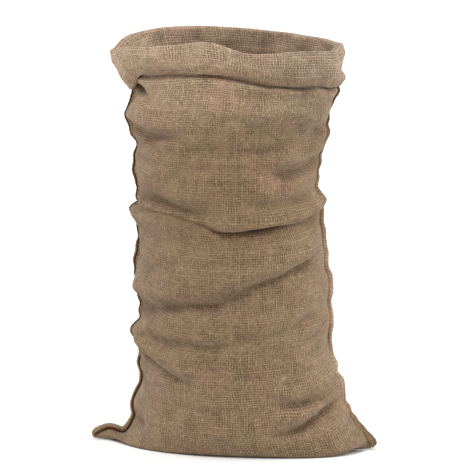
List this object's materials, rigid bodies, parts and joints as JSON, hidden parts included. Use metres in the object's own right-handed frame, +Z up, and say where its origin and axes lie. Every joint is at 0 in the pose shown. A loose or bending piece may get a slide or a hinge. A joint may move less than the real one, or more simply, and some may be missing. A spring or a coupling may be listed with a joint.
{
  "type": "jute sack",
  "caption": "Open jute sack standing filled out, mouth turned down in a cuff, side seams left outside and running down into ears beside the base.",
  "frame": {"origin": "middle of the plan of the whole sack, ears and seams counted in, on the surface that it stands on", "axes": "+Z up through the mouth, +X to the right-hand side seam seen from the front, -Y out of the front panel"},
  "size_m": [0.6073, 0.346, 0.8711],
  "materials": {
    "jute_cloth": "coarse plain-woven jute hessian, undyed, matt, with slubs and loose fibres",
    "seam_jute": "folded jute seam allowance, whipped over, a little lighter than the cloth, matt",
    "seam_twine": "dark brown twisted sewing twine, matt"
  },
  "bodies": {
    "root": {"sack_cloth": "jute_cloth", "left_side_seam": "seam_jute", "right_side_seam": "seam_jute", "left_seam_twine": "seam_twine", "right_seam_twine": "seam_twine"}
  },
  "joints": []
}
